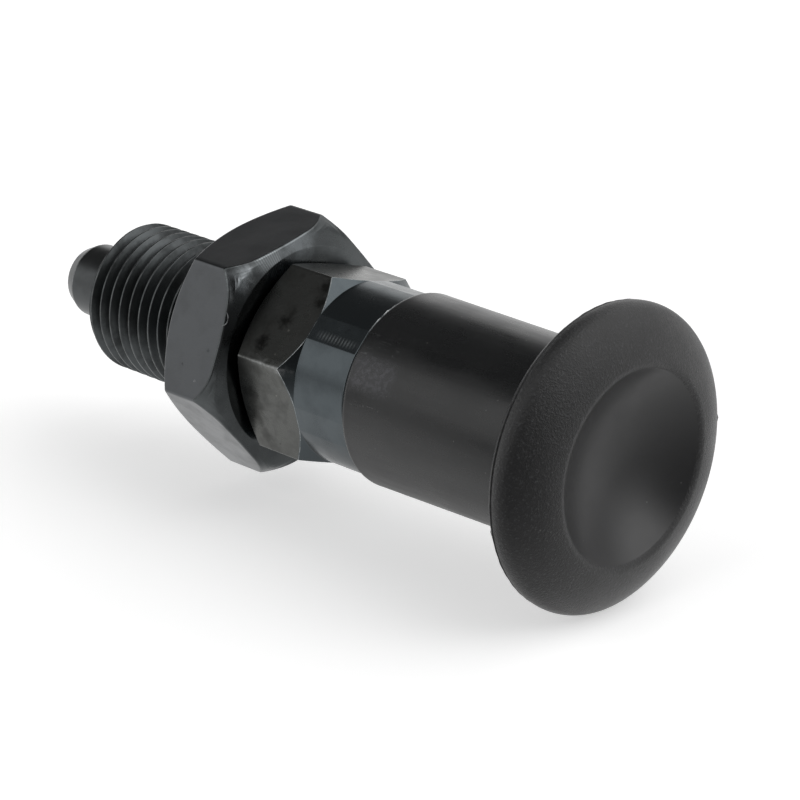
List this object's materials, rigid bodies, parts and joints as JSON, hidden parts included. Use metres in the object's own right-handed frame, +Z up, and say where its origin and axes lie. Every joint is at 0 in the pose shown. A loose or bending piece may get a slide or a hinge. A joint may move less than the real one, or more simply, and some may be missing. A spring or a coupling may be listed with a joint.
{
  "type": "indexing plunger",
  "caption": "Threaded steel indexing plunger with a spring-loaded locking pin, a flanged plastic pull knob and a hexagon lock nut.",
  "frame": {"origin": "centre of the guide's seat face, where the hexagon meets the threaded shank, on the plunger's axis", "axes": "+X runs along the plunger's axis towards the pull knob, -X towards the locking pin's nose; +Z is up"},
  "size_m": [0.0783, 0.031, 0.031],
  "materials": {
    "guide_steel": "black oxide, oiled",
    "pin_steel": "hardened, ground and blackened",
    "spring_steel": "drawn wire",
    "knob_plastic": "fine spark-eroded grain, satin",
    "nut_steel": "black oxide, turned chamfers"
  },
  "bodies": {
    "guide": {"guide": "guide_steel"},
    "spring": {"spring": "spring_steel"},
    "plunger": {"locking_pin": "pin_steel", "knob": "knob_plastic"},
    "lock_nut": {"lock_nut": "nut_steel"}
  },
  "joints": [
    {"name": "pull", "type": "slide", "parent": "guide", "child": "spring", "axis": [1, 0, 0], "range_m": [0, 0.008], "stiffness_N_per_m": 3050, "springref_m": -0.0045, "deforming": ["spring"]},
    {"name": "turn", "type": "hinge", "parent": "spring", "child": "plunger", "pos_m": [0, 0, 0], "axis": [1, 0, 0], "continuous": true},
    {"name": "nut_travel", "type": "slide", "parent": "guide", "child": "lock_nut", "axis": [1, 0, 0], "range_m": [-0.0176, 0.00035]}
  ]
}
